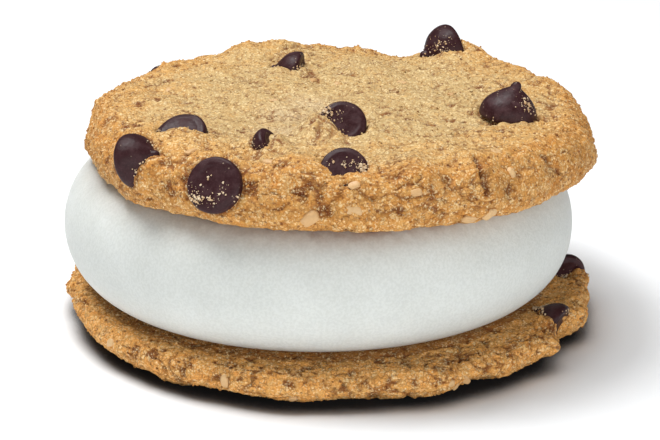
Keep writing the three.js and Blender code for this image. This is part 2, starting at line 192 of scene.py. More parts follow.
# Folds of dough that hold a chip, and dips that bare one: (x, y, z, radius, height).
UPPER.folds = (
    (-26.8, -24.4, 10.5, 2.7, 1.1), (-23.2, -26.6, 10.5, 1.9, 1.2), (-10.6, -27.9, 10.2, 1.9, 1.5),
    (-9.8, -30.4, 10.2, 1.8, 1.1), (-14.3, -27.8, 10.3, 1.4, 0.8), (-12.9, -32.0, 10.3, 1.6, 1.0),
    (-3.6, -21.8, 10.8, 2.7, 1.5), (-1.6, -24.2, 10.8, 2.1, 1.3), (-2.6, -19.4, 10.6, 2.1, 1.2),
    (4.2, -20.8, 10.6, 1.4, 0.9), (-1.6, -41.2, 9.4, 2.4, -1.2), (-11.6, 22.8, 10.2, 2.3, -1.3),
    (16.6, 31.4, 11.0, 2.6, -1.2), (-31.0, -31.3, 6.0, 1.9, 1.5), (-29.9, -30.6, 7.6, 1.5, 0.8),
    (24.4, 31.2, 10.4, 2.2, 1.0),
)
LOWER.folds = (
    (37.4, 19.2, 0.4, 2.0, 2.4), (35.6, 23.4, 0.2, 2.2, 1.0), (36.1, 28.3, 2.5, 1.5, 1.5),
    (41.6, -0.2, 0.0, 2.8, -1.9), (41.8, 11.1, 0.3, 2.4, 0.5), (39.2, 21.4, 2.8, 2.4, -2.2),
)
# Patches of crumbs stuck to the upper cookie's chips: (x, y, z, radius).
SMEARS = (
    (-23.0, -39.1, 4.6, 1.3), (-20.6, -39.6, 4.4, 0.8), (30.4, -12.6, 12.4, 1.5), (-2.7, -20.9, 13.7, 1.5),
    (3.0, -39.3, 9.9, 1.0), (19.0, 31.0, 11.5, 2.0),
)

# Loose crumbs: heights and distances from the axis between which they lie, and how far they may face down.
CRUMBS = Sizes(upper_from=28.6, lower_from=0.6, lower_beyond=39.0, thicken=(26, 42), steepest=-0.35)
WORN_MARKS = ("rim", "side", "tone", "floury")
# Crumb dust on the chips: chances of a grain far from the dough, beside it and in a smear, and distances in mm.
DUST = Sizes(
    rare=0.015, thick=0.5, smear=0.8, fade=0.6, shrink=0.7, clear=0.05, finest=0.12, tries=2600, steepest=-0.3
)

ICE_CREAM = Sizes(radius=43.9, thickness=20.6, bulge=7.9, at=(-2.07, 0.0, 7.1))
ICE_RIPPLE = {"seed": 13, "count": 8, "shortest": 24.0, "longest": 50.0}
ICE_RIPPLE_HEIGHT = 0.12
ICE_GRID = Sizes(side=61, flat=12, round=360)  # points up the side, across a flat and round the disc
# The painted brown shade beneath the cookies: its middle and half-width in degrees, its spread down and up as shares
# of the thickness.
ICE_EDGE_SHADE = Sizes(bearing=-82, half_width=38, down=0.11, up=0.03, beyond=30)

# Sizes in mm of the cells in the finishes.
DOUGH_GRAIN, DOUGH_PORE, CHOCOLATE_SPECK = 0.7, 1.0, 0.75

# -------- studio

DAYLIGHT = (0.94, 0.97, 1.0, 1)
# The floor's shade is how far its painted contact shadow reaches.
FLOOR = Sizes(reach=3.0, gap=0.05, cloud=40.0, shade=5)  # reach in metres, the others in mm
# Lights: (name, place and size in metres, share of the main light's power).
LIGHTS = (
    ("key_light", (-0.26, 0.11, 0.66), (0.3, 0.3), 1.4),
    ("top_light", (0.0, 0.1, 0.9), (0.25, 0.25), 0.85),
    ("front_fill", (0.16, -0.6, 0.2), (2.4, 0.16), 1.85),
)
LIT_POINT = (0, 0, 15)
SEEN_POINT = (-0.1, 0, 16.17)


# -------- tools for shapes


def srgb(red, green, blue):
    """A screen colour, 0 to 255, as the linear colour that Blender's colour settings hold."""
    shares = [value / 255 for value in (red, green, blue)]
    return tuple(s / 12.92 if s < 0.04045 else ((s + 0.055) / 1.055) ** 2.4 for s in shares)


def smooth(value, start, end):
    share = np.clip((value - start) / (end - start), 0, 1)
    return share * share * (3 - 2 * share)


def bump(distance, spread):
    return np.exp(-((distance / spread) ** 2))


def dish(distance, radius):
    """1 in the middle of a round pit, falling to nothing at its edge."""
    return np.clip(1 - (distance / radius) ** 2, 0, 1) ** 1.5


def from_point(points, place):
    return np.linalg.norm(points - np.array(place), axis=1)


def across(points, x=0, y=0):
    """Level distance of each point from an upright line."""
    return np.hypot(points[:, 0] - x, points[:, 1] - y)


def from_bearing(bearing, middle):
    """Degrees from one bearing to another, the short way round."""
    return (bearing - middle + 180) % 360 - 180


def from_line(points, start, end):
    """Distance of each point from a straight line between two ends."""
    start, end = np.array(start, float), np.array(end, float)
    along = end - start
    share = np.clip((points - start) @ along / (along @ along), 0, 1)
    return np.linalg.norm(points - start - share[:, None] * along, axis=1)


def draw_from(seed):
    """A repeatable random draw between 0 and 1, as the solids use."""
    state = seed

    def draw():
        nonlocal state
        state = state * 16807 % 2147483647
        return state / 2147483647

    return draw


def relief_from(seed, count, shortest, longest):
    """Rolling relief of unit strength: plane waves in random directions, added up."""
    draw = draw_from(seed)
    waves = []
    for _ in range(count):
        pitch = 2 * math.pi / (shortest + (longest - shortest) * draw())
        polar = math.acos(2 * draw() - 1)
        theta = 2 * math.pi * draw()
        way = (math.sin(polar) * math.sin(theta), math.cos(polar), math.sin(polar) * math.cos(theta))
        waves.append((pitch * np.array(way), 2 * math.pi * draw()))
    return lambda points: math.sqrt(2 / count) * sum(np.sin(points @ pitch + phase) for pitch, phase in waves)


def scrambled(cells, seed):
    """Three repeatable numbers from 0 to 1 for each whole-number cell."""
    mixed = (cells @ np.array([73856093, 19349663, 83492791]) + seed * 668265263) & 0xFFFFFFFF
    numbers = []
    for _ in range(3):
        mixed = ((mixed ^ (mixed >> 16)) * 0x45D9F3B + 0x27220A95) & 0xFFFFFFFF
        mixed = ((mixed ^ (mixed >> 15)) * 0x119DE1F3) & 0xFFFFFFFF
        numbers.append((mixed ^ (mixed >> 16)) / 0xFFFFFFFF)
    return np.stack(numbers, -1)


def noise(points, size, seed):
    """Smooth noise from about -1 to 1, whose swells are about this size across."""
    at = points / size + 3.7 * seed
    cell = np.floor(at).astype(np.int64)
    within = at - cell
    fade = within**3 * (within * (within * 6 - 15) + 10)
    total = np.zeros(len(points))
    for corner in np.ndindex(2, 2, 2):
        slope = 2 * scrambled(cell + corner, seed) - 1
        pull = ((within - corner) * slope).sum(1)
        total += pull * np.where(corner, fade, 1 - fade).prod(1)
    return 1.7 * total


def shifts(points, size, seed):
    """Smooth noise along each of the three axes."""
    return np.column_stack([noise(points, size, seed + axis) for axis in range(3)])


def nearest_seed(points, spacing, seed):
    """Distances to the nearest of a scatter of seeds and to the edge of its cell, and the seed's number."""
    at = points / spacing
    cell = np.floor(at).astype(np.int64)
    nearest = np.full(len(points), np.inf)
    second = np.full(len(points), np.inf)
    number = np.zeros(len(points))
    for step in np.ndindex(3, 3, 3):
        there = cell + np.array(step) - 1
        draws = scrambled(there, seed)
        gap = np.linalg.norm(there + draws - at, axis=1)
        closer = gap < nearest
        second = np.where(closer, nearest, np.minimum(second, gap))
        nearest[closer] = gap[closer]
        number[closer] = (7.31 * draws[closer].sum(1)) % 1
    return nearest * spacing, (second - nearest) / 2 * spacing, number


def pricked(points, spacing, seed, share, widest):
    """Round pits of many widths, in this share of the seeds' cells."""
    apart, _, number = nearest_seed(points, spacing, seed)
    return (number < share) * dish(apart, 0.3 + widest * number)


def geodesic_ball(fineness):
    """Unit points and triangles of an icosahedron whose edges are split into this many parts."""
    golden = (1 + math.sqrt(5)) / 2
    corners = []
    for a in (-1, 1):
        for b in (-golden, golden):
            corners += [(a, b, 0), (0, a, b), (b, 0, a)]
    corners = np.array(corners) / math.hypot(1, golden)
    edge = 2 / math.hypot(1, golden)
    i, j = (part.ravel() for part in np.indices((fineness + 1, fineness + 1)))
    inside = i + j <= fineness
    i, j = i[inside], j[inside]
    place = np.full((fineness + 1, fineness + 1), -1)
    place[i, j] = np.arange(len(i))
    a, b = i[i + j < fineness], j[i + j < fineness]
    upright = np.stack([place[a, b], place[a + 1, b], place[a, b + 1]], 1)
    a, b = i[i + j < fineness - 1], j[i + j < fineness - 1]
    patch = np.concatenate([upright, np.stack([place[a + 1, b], place[a + 1, b + 1], place[a, b + 1]], 1)])
    points, faces = [], []
    for trio in combinations(corners, 3):
        a, b, c = trio
        if any(abs(np.linalg.norm(one - other) - edge) > 0.01 for one, other in combinations(trio, 2)):
            continue
        if np.dot(np.cross(b - a, c - a), a) < 0:
            b, c = c, b
        faces.append(patch + len(i) * len(points))
        points.append((np.outer(fineness - i - j, a) + np.outer(i, b) + np.outer(j, c)) / fineness)
    points, faces = np.concatenate(points), np.concatenate(faces)
    _, first, shared = np.unique(np.round(points, 7), axis=0, return_index=True, return_inverse=True)
    points = points[first]
    return points / np.linalg.norm(points, axis=1)[:, None], shared.reshape(-1)[faces]


def ring_grid(rings, sides):
    """Faces between rings of points with this many sides each, with one point closing either end."""
    side = np.arange(sides)
    after = (side + 1) % sides
    faces = []
    for ring in range(rings - 1):
        low, high = 1 + ring * sides, 1 + (ring + 1) * sides
        faces.append(np.stack([low + side, low + after, high + after], 1))
        faces.append(np.stack([low + side, high + after, high + side], 1))
    last = 1 + (rings - 1) * sides
    faces.append(np.stack([np.zeros_like(side), 1 + after, 1 + side], 1))
    faces.append(np.stack([last + side, last + after, np.full_like(side, last + sides)], 1))
    return np.concatenate(faces)


def turned(profile, sides):
    """Points of a profile (distance from the axis, height) turned about the axis, and their faces."""
    angle = 2 * np.pi * np.arange(sides) / sides
    way = np.column_stack([np.cos(angle), np.sin(angle), np.ones(sides)])
    rings = (profile[1:-1, None, [0, 0, 1]] * way).reshape(-1, 3)
    start, end = ([(0, 0, profile[which, 1])] for which in (0, -1))
    return np.concatenate([start, rings, end]), ring_grid(len(profile) - 2, sides)


def curve(controls, count):
    """Points along a Bezier curve, without its first."""
    layer = [np.array(c, float)[None] for c in controls]
    share = np.linspace(0, 1, count + 1)[1:, None]
    while len(layer) > 1:
        layer = [a * (1 - share) + b * share for a, b in zip(layer, layer[1:])]
    return layer[0]


def stood(way):
    """The turn that stands an upright thing this way up."""
    return Vector((0, 0, 1)).rotation_difference(Vector(way)).to_matrix()


def placing(cookie):
    """The matrix that puts a cookie's own frame into the object's, in metres."""
    return Matrix.Translation(Vector(cookie.at) * MM) @ Matrix.Rotation(math.radians(cookie.turn), 4, "X")


def into_place(points, matrix):
    turn = np.array(matrix.to_3x3())
    return points * MM @ turn.T + np.array(matrix.translation)


def made_mesh(name, points, faces, marks=None):
    """A smooth mesh object from points in metres, with a number at each point for every mark."""
    old = bpy.data.objects.get(name)
    if old:
        bpy.data.objects.remove(old)
    mesh = bpy.data.meshes.new(name)
    mesh.from_pydata(points.tolist(), [], faces.tolist())
    mesh.shade_smooth()
    for mark, values in (marks or {}).items():
        mesh.attributes.new(mark, "FLOAT", "POINT").data.foreach_set("value", np.asarray(values, np.float32))
    piece = bpy.data.objects.new(name, mesh)
    bpy.context.scene.collection.objects.link(piece)
    return piece


def fitted(piece, material, slot, *nodes):
    """Gives a piece its material, hangs it from the root and hides the solids that it stands for. The slot is not
    used.
    """
    piece.data.materials.append(material)
    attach(piece, "root")
    if nodes:
        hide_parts(*nodes)
    return piece


def made_earlier(name):
    piece = bpy.data.objects.get(name)
    if piece is None:
        raise RuntimeError(f"make {name} first")
    return piece


def read_back(values, field, width=1):
    """Numbers that Blender holds for each point, as an array."""
    numbers = np.empty(width * len(values), np.float32)
    values.foreach_get(field, numbers)
    return numbers.reshape(-1, width).astype(float) if width > 1 else numbers


def surface_of(name):
    """Points and normals of a piece made earlier, in metres."""
    mesh = made_earlier(name).data
    return read_back(mesh.vertices, "co", 3), read_back(mesh.vertex_normals, "vector", 3)


class Heap:
    """Small bodies gathered into one mesh, each with a tone of its own."""

    def __init__(self):
        self.points, self.faces, self.tones = [], [], []
        self.count = 0

    def add(self, points, faces, tone):
        self.points.append(points)
        self.faces.append(faces + self.count)
        self.tones.append(np.full(len(points), tone))
        self.count += len(points)

    def joined(self):
        return [np.concatenate(parts) for parts in (self.points, self.faces, self.tones)]


# -------- cookies


def profile_at(cookie, radius, station):
    """Distance from the axis, height, and the way the skin faces (outwards, upwards) at each station."""
    top, rim = cookie.thickness, cookie.rim
    shoulder, heel = cookie.shoulder, cookie.heel
    turn = np.pi / 2 * (station % 1)
    rise, fall = np.sin(turn), np.cos(turn)
    part = [station < 1, station < 2, station < 3]
    out = np.select(
        part,
        [(radius - shoulder) * station, radius - shoulder * (1 - rise), radius - heel * (1 - fall)],
        np.maximum(0, (radius - heel) * (4 - station)),
    )
    crown = top + cookie.crown * (1 - station**2)
    height = np.select(part, [crown, rim + (top - rim) * fall, rim * (1 - rise)], 0.0)
    facing_out = np.select(part, [0 * station, rise, fall], 0.0)
    facing_up = np.select(part, [0 * station + 1, fall, -rise], -1.0)
    return out, height, facing_out, facing_up


def skin(cookie, bearing, station):
    """The skin's points as the solid has them, and the way each one faces."""
    radius = np.full(len(bearing), cookie.radius, float)
    for middle, half_width, height in cookie.outline:
        radius += height * bump(from_bearing(bearing, middle), half_width)
    out, height, facing_out, facing_up = profile_at(cookie, radius, station)
    way = np.stack([np.cos(np.radians(bearing)), np.sin(np.radians(bearing))], 1)
    facing = np.column_stack([facing_out[:, None] * way, facing_up])
    points = np.column_stack([out[:, None] * way, height])
    strength = cookie.relief[0] + (cookie.relief[1] - cookie.relief[0]) * smooth(station, *SIDE_RELIEF_FROM)
    rise = strength * relief_from(cookie.seed, **CRAGS)(points)
    for _, base, _, _, mound in cookie.chips:
        rise += mound * bump(from_point(points, base), MOUND_SPREAD)
    rise *= 1 - smooth(station, *HEEL_RELIEF_ENDS)
    for x, y, spread, lift in cookie.dimples:
        rise += lift * bump(across(points, x, y), spread) * np.maximum(0, facing_up)
    rise[station >= 3] = 0
    return points + rise[:, None] * facing, facing


def chip_profile():
    """The drop's outline from the middle of its base to its tip: (distance from the axis, height)."""
    radius, top, edge = CHIP.radius, CHIP.height, CHIP.edge
    base = np.column_stack([np.linspace(0, radius - edge, CHIP.base_points), np.zeros(CHIP.base_points)])
    heel = [(radius - edge, 0), (radius, 0), (radius, edge)]
    side = [(radius, edge), (radius, 0.52 * top), (0.44 * radius, 0.72 * top), (0.2 * radius, 0.84 * top)]
    tip = [(0.2 * radius, 0.86 * top), (0.16 * radius, top), (0, top)]
    return np.concatenate([base, curve(heel, 6), curve(side, 22), curve(tip, 6)])


def chip_frame(base, tip):
    """The matrix that stands a chip on its base with its tip that way."""
    return Matrix.Translation(Vector(base)) @ stood(tip).to_4x4()


def beyond_chip(points, base, tip, scale):
    """Distance of each point from a chip's surface, less than nothing inside it."""
    back = np.array(chip_frame(base, tip).inverted())
    own = points @ back[:3, :3].T + back[:3, 3]
    flat = np.column_stack([np.hypot(own[:, 0], own[:, 1]), own[:, 2]])
    outline = chip_profile() * scale
    reach = np.min([from_line(flat, a, b) for a, b in zip(outline, outline[1:])], axis=0)
    height = flat[:, 1]
    wall = outline[CHIP.base_points :]
    inside = (height > 0) & (height < outline[-1, 1]) & (flat[:, 0] < np.interp(height, wall[:, 1], wall[:, 0]))
    return np.where(inside, -reach, reach)


def fine_relief(cookie, settings, points, bearing, rim, side):
    """How far the crumb stands up or sinks at each point, and how much painted shade lies in its pores, creases and
    low spots.
    """
    seed, lower = cookie.seed, cookie.rests_on_crown
    warp = shifts(points, 1.1, seed + 40)
    lumps = 0.24 * noise(points, APART.lumps, seed) + 0.16 * noise(points, APART.bumps, seed + 1)
    craggy = (0.7 + 0.2 * rim) * smooth(noise(points, APART.crags, seed + 2) + 0.12 + 0.14 * rim, -0.1, 0.4)
    for middle, half_width, share in cookie.calm:
        craggy *= 1 - share * side * bump(from_bearing(bearing, middle), half_width)
    _, edge, number = nearest_seed(points + 0.5 * warp, APART.curds, seed + 24)
    crevice = craggy * (1 - smooth(edge, 0.02, 0.3)) * smooth(noise(points, 2.0, seed + 25), -0.35, 0.15)
    curds = (0.1 + 0.16 * craggy) * (number - 0.5) * smooth(edge, 0.0, 0.5)
    # Here and there a knot of small curds has broken open.
    apart, _, number = nearest_seed(points + 0.8 * warp, APART.knots, seed + 50)
    knot = (number < 0.42) * dish(apart, 1.1 + 2.8 * number)
    _, edge, number = nearest_seed(points + 0.4 * warp, APART.small_curds, seed + 26)
    crevice = np.maximum(crevice, np.minimum(1.4 * knot, 1) * (1 - smooth(edge, 0.05, 0.3)))
    curds += 0.4 * knot * (number - 0.5)

    apart, edge, number = nearest_seed(points + 0.2 * warp, APART.grains, seed + 4)
    grains = dish(apart, 0.7) * (0.3 + number) - 0.7 * (1 - smooth(edge, 0.0, 0.16))
    grains += 0.5 * noise(points, 0.7, seed + 5)
    share = 0.14 + 0.14 * side
    pores = pricked(points, APART.pores, seed + 6, share, 1.1)
    pores = np.maximum(pores, pricked(points, APART.small_pores, seed + 16, 0.6 * share, 0.5))
    # The upper cookie's creases run round it; the lower one's run up and down its side.
    around, outward = (50, 0.4) if lower else (17, 0.9)
    way = np.column_stack([np.cos(np.radians(bearing)), np.sin(np.radians(bearing))])
    reach = across(points) + 1.3 * points[:, 2]
    wrapped = np.column_stack([way * around, reach * outward])
    creased = np.clip(1 - abs(noise(wrapped, APART.creases, seed + 7)) / 0.15, 0, 1)
    creased *= smooth(noise(points, 5.0, seed + 8), 0.08, 0.33) * (0.5 + 0.4 * rim)

    rise = lumps + curds + settings.grain_height / MM * grains - settings.pore_depth / MM * pores
    rise -= settings.crease_depth / MM * np.maximum((1.5 if lower else 1.0) * creased, crevice)
    # Painted shade also darkens the low spots between the bumps.
    low = np.clip(-noise(points, APART.bumps, seed + 1) - 0.6 * noise(points, 1.2, seed + 3), 0, 1)
    return rise, np.maximum(1.5 * pores, np.maximum(0.95 * creased, 0.95 * crevice)) + 0.28 * low


def bake_marks(cookie, points, facing, rise, hollow_shade):
    """Sinks the named pits, pores, cracks and floury hollows. Says how far each point is burnt and how floury."""
    caramel, floury = np.zeros(len(points)), np.zeros(len(points))
    wander = points + 0.35 * shifts(points, 0.9, cookie.seed + 10)
    for *place, radius, depth in cookie.pits:
        dip = dish(from_point(wander, place), 1.5 * radius)
        rise -= depth * dip
        np.maximum(caramel, 1.25 * dip, out=caramel)
    # Pores and the gaps of cracks get painted shade.
    for *place, radius, depth in cookie.pores:
        dip = dish(from_point(wander, place), 1.3 * radius)
        rise -= depth * dip
        np.maximum(hollow_shade, 1.6 * dip, out=hollow_shade)
    for start, end, half_width, depth, browning in cookie.cracks:
        apart = from_line(wander, start, end)
        gap = dish(apart, 1.5 * half_width)
        rise += 0.25 * depth * bump(apart - 2.2 * half_width, 0.7 * half_width) - depth * gap
        np.maximum(hollow_shade, 1.2 * gap, out=hollow_shade)
        np.maximum(caramel, browning * dish(apart, 2.4 * half_width), out=caramel)
    for x, y, radius, depth in cookie.floury:
        dip = bump(across(points, x, y), radius) * (facing[:, 2] > 0.5)
        rise -= depth * dip
        np.maximum(floury, dip, out=floury)
    return caramel, floury


def close_round_chips(cookie, settings, points, rise, hollow_shade):
    """Sinks the dough to a seam with painted shade where it meets a chip, and stands it up in a crumbly lip beyond
    it.
    """
    seed = cookie.seed
    for _, base, tip, scale, _ in cookie.chips:
        near = from_point(points, base) < CHIP.reach
        gap = beyond_chip(points[near], base, tip, scale)
        ragged = 0.5 + 0.8 * noise(points[near], 1.5, seed + 14) + 0.4 * noise(points[near], 0.7, seed + 15)
        lip = bump(gap - 1.1, 0.6) * np.clip(ragged, 0, 1.5)
        seam = bump(gap - 0.15, 0.3)
        rise[near] += settings.lip_height / MM * lip - 0.25 * seam
        # Painted shade in the seam beside the chip.
        hollow_shade[near] = np.maximum(hollow_shade[near], 0.9 * seam)


def flatten_under(cookie, points, station, rise, hollow_shade):
    """Keeps the crumb off the face that lies on the ice cream, or that the ice cream lies on."""
    if not cookie.rests_on_crown:
        under = smooth(station, 2.75, 3.0)
        return rise * (1 - under) + np.minimum(0.5 * rise, 0.1) * under, hollow_shade
    # The ring beyond the ice cream is baked like the rim.
    open_ring = smooth(across(points), 36.0, 39.5)
    # Painted shade in a narrow ring where the ice cream sits on the lower cookie.
    seam = bump(np.maximum(across(points, -2.3) - 39.7, 0), 0.6)
    flat = station >= 3
    rise[flat] = np.minimum(rise[flat], 0.3) * open_ring[flat] - 0.25 * open_ring[flat]
    rise[~flat] -= 0.25 * smooth(station[~flat], 2.2, 3.0)
    return rise, np.maximum(hollow_shade, 0.6 * seam * (station > 2))


def baked(cookie, settings):
    """The finished skin in the cookie's own frame, its faces, and the marks that colour it."""
    seed, lower = cookie.seed, cookie.rests_on_crown
    ball, faces = geodesic_ball(cookie.fineness)
    bearing = np.degrees(np.arctan2(ball[:, 1], ball[:, 0]))
    station = np.interp(np.degrees(np.arccos(np.clip(ball[:, 2], -1, 1))), *cookie.spread)
    points, facing = skin(cookie, bearing, station)
    rim, side = (np.ones(len(points)) if lower else smooth(station, *span) for span in (RIM_SPAN, SIDE_SPAN))
    rise, hollow_shade = fine_relief(cookie, settings, points, bearing, rim, side)
    caramel, floury = bake_marks(cookie, points, facing, rise, hollow_shade)
    close_round_chips(cookie, settings, points, rise, hollow_shade)
    rise, hollow_shade = flatten_under(cookie, points, station, rise, hollow_shade)
    uneven = 1 + 0.25 * noise(points, 1.6, seed + 30)
    for *place, radius, height in cookie.folds:
        rise += height * bump(from_point(points, place), radius) * uneven
    points = points + rise[:, None] * facing
    if lower:
        points[:, 2] = np.minimum(points[:, 2], cookie.thickness - 0.02)
    marks = {
        "rim": rim,
        "side": side,
        "tone": 0.5 + 0.5 * (noise(points, 9.0, seed + 20) + 0.6 * noise(points, 4.0, seed + 21)),
        # Painted shade in pores, creases, low spots, cracks and seams.
        "hollow_shade": np.clip(hollow_shade, 0, 1),
        "caramel": np.clip(caramel * (0.75 + 0.6 * noise(points, 0.8, seed + 22)), 0, 1),
        "floury": floury,
    }
    return points, faces, marks


def all_bits(cookie):
    """The bits of nut that the solid names, and the spare ones that it draws."""
    draw = draw_from(SPARE_BITS.seed + cookie.seed)
    bits = list(cookie.bits)
    while len(bits) < len(cookie.bits) + SPARE_BITS.count:
        bearing, station = 360 * draw(), 0.3 + 1.6 * draw()
        length = SPARE_BITS.shortest + (SPARE_BITS.longest - SPARE_BITS.shortest) * draw()
        place = skin(cookie, np.array([bearing]), np.array([station]))[0][0]
        if cookie.rests_on_crown:
            place[2] = min(place[2], cookie.thickness)
        nearest = min(np.linalg.norm(place - chip[1]) for chip in cookie.chips)
        near_floor = cookie.rests_on_crown and place[2] > cookie.thickness - SPARE_BITS.clear_of_floor
        if nearest > SPARE_BITS.clear_of_chips and not near_floor:
            bits.append((bearing, station, length))
    return bits


# -------- materials


class Finish:
    """A node material under construction."""

    def __init__(self, name):
        self.material = bpy.data.materials.new(name)
        self.material.use_nodes = True
        self.nodes = self.material.node_tree.nodes
        self.links = self.material.node_tree.links
        self.shader = self.nodes["Principled BSDF"]
        self.place = self.node("ShaderNodeTexCoord").outputs["Object"]

    def node(self, kind, inputs=None, **settings):
        made = self.nodes.new(kind)
        for name, value in settings.items():
            setattr(made, name, value)
        for name, value in (inputs or {}).items():
            self.feed(made.inputs[name], value)
        return made

    def feed(self, socket, value):
        if isinstance(value, bpy.types.NodeSocket):
            self.links.new(value, socket)
        else:
            socket.default_value = value

    def mark(self, name):
        return self.node("ShaderNodeAttribute", attribute_name=name).outputs["Fac"]

    def noise(self, size, detail=2.0, rough=0.5):
        """Noise from 0 to 1 whose grains are about this size, in mm."""
        given = {"Vector": self.place, "Scale": 1 / (size * MM), "Detail": detail, "Roughness": rough}
        return self.node("ShaderNodeTexNoise", given).outputs["Fac"]

    def cells(self, size, output="Distance", **settings):
        given = {"Vector": self.place, "Scale": 1 / (size * MM)}
        return self.node("ShaderNodeTexVoronoi", given, **settings).outputs[output]

    def numbers(self, size):
        """Three random numbers for each cell."""
        return self.node("ShaderNodeSeparateColor", {0: self.cells(size, "Color")}).outputs

    def ranged(self, value, start, end, low=0.0, high=1.0):
        given = {"Value": value, "From Min": start, "From Max": end, "To Min": low, "To Max": high}
        return self.node("ShaderNodeMapRange", given, interpolation_type="SMOOTHSTEP").outputs["Result"]

    def math(self, kind, *values):
        return self.node("ShaderNodeMath", dict(enumerate(values)), operation=kind).outputs[0]

    def plus(self, a, b):
        return self.math("ADD", a, b)

    def times(self, a, b):
        return self.math("MULTIPLY", a, b)

    def mixed(self, share, a, b):
        made = self.node("ShaderNodeMix", data_type="RGBA")
        self.feed(made.inputs[0], share)
        for socket, value in ((made.inputs[6], a), (made.inputs[7], b)):
            self.feed(socket, value if isinstance(value, bpy.types.NodeSocket) else (*value, 1.0))
        return made.outputs[2]

    def layered(self, colour, *layers):
        """Lays each colour over the ones before it, by its share."""
        for share, layer in layers:
            colour = self.mixed(share, colour, layer)
        return colour

    def raised(self, *reliefs):
        """Bumps laid one over another, each with its height in mm."""
        given = {}
        for relief, height in reliefs:
            made = self.node("ShaderNodeBump", {"Height": relief, "Distance": height * MM, "Strength": 1.0, **given})
            given = {"Normal": made.outputs["Normal"]}
        return given["Normal"]

    def finished(self, **inputs):
        for name, value in inputs.items():
            self.feed(self.shader.inputs[name.replace("_", " ").title().replace("Ior", "IOR")], value)
        return self.material


def dough_material(name, dough, brown):
    """Baked dough: pale and floury in the middle, golden to the rim, burnt brown in its pits, with painted shade in
    its hollows and between its grains, and with sugar grains.
    """
    finish = Finish(name)
    rim = finish.mark("rim")
    fine, coarse = finish.noise(0.34, 3.0, 0.6), finish.noise(1.5, 3.0, 0.55)
    number, chance = finish.numbers(DOUGH_GRAIN), finish.numbers(DOUGH_PORE)[1]
    baking = finish.plus(rim, finish.ranged(coarse, 0.2, 0.8, -0.3, 0.3))
    baking = finish.plus(baking, finish.ranged(finish.mark("tone"), 0.0, 1.0, -0.25, 0.25))
    deep = finish.times(finish.mark("side"), finish.ranged(coarse, 0.3, 0.75, 0.25, 0.85))
    floury = finish.times(finish.mark("floury"), finish.ranged(coarse, 0.25, 0.7, 0.6, 1.0))
    shade = finish.plus(finish.ranged(fine, 0.3, 0.7, 0.0, 0.7), finish.ranged(number[2], 0.0, 1.0, 0.0, 0.3))
    # Painted shade in the gaps between the grains.
    gap = finish.ranged(finish.cells(DOUGH_GRAIN, feature="DISTANCE_TO_EDGE"), 0.02, 0.15, 0.5, 0.0)
    grain_gap_shade = finish.times(gap, finish.ranged(finish.noise(1.1), 0.35, 0.6))
    amber = finish.ranged(finish.noise(0.8), 0.5, 0.75)
    grains = finish.ranged(finish.cells(DOUGH_GRAIN), 0.14, 0.3, 1.0, 0.0)
    sugar = finish.times(grains, finish.ranged(number[0], 0.8, 0.84))
    craggy = finish.plus(finish.times(rim, 0.2), finish.ranged(coarse, 0.3, 0.7, 0.28, 0.0))
    # Painted shade in fine pores, more of them on the craggier crust.
    pricks = finish.ranged(finish.cells(DOUGH_PORE), 0.16, 0.34, 1.0, 0.0)
    pore_shade = finish.times(pricks, finish.math("LESS_THAN", chance, craggy))
    colour = finish.layered(
        finish.mixed(finish.ranged(baking, 0.0, 1.0), dough.pale, dough.golden),
        (deep, brown),
        (floury, dough.flour),
        # painted shade in the hollows marked on the mesh
        (finish.ranged(finish.mark("hollow_shade"), 0.12, 0.95, 0.0, 0.9), dough.hollow_shade),
        (finish.ranged(finish.mark("caramel"), 0.2, 0.9, 0.0, 0.9), dough.caramel),
        (finish.ranged(shade, 0.1, 0.45, 0.42, 0.0), dough.toast),
        (finish.ranged(shade, 0.55, 0.9, 0.0, 0.62), dough.sugar),
        (grain_gap_shade, dough.hollow_shade),
        (finish.times(amber, 0.25), dough.amber),
        (finish.times(sugar, 0.7), dough.sugar),
        (finish.times(pore_shade, 0.72), dough.hollow_shade),
    )
    sand = finish.raised((fine, 0.16), (finish.noise(0.16), 0.07))
    roughness = finish.math("MULTIPLY_ADD", sugar, -0.32, 0.74)
    return finish.finished(base_color=colour, roughness=roughness, normal=sand, specular_ior_level=0.25)


def chocolate_material(chocolate):
    """Dark chocolate with a dusty bloom and specks of crumb dust."""
    finish = Finish("dark_chocolate")
    bloom = finish.ranged(finish.noise(1.6, 4.0, 0.6), 0.35, 0.75)
    dust = finish.ranged(finish.noise(0.3, 2.0, 0.6), 0.5, 0.72)
    dusty = finish.plus(finish.times(bloom, 0.55), finish.times(dust, 0.35))
    specks = finish.ranged(finish.cells(CHOCOLATE_SPECK), 0.1, 0.2, 1.0, 0.0)
    specks = finish.times(specks, finish.ranged(finish.numbers(CHOCOLATE_SPECK)[1], 0.72, 0.76))
    specks = finish.times(specks, finish.mark("bloom"))
    colour = finish.mixed(finish.times(finish.mark("bloom"), dusty), chocolate.dark, chocolate.bloom)
    colour = finish.mixed(finish.times(specks, 0.6), colour, chocolate.dust)
    relief = finish.raised((finish.noise(0.5, 3.0), 0.05), (finish.noise(2.4), 0.12))
    roughness = finish.ranged(bloom, 0.0, 1.0, 0.42, 0.62)
    return finish.finished(base_color=colour, roughness=roughness, normal=relief, specular_ior_level=0.2)


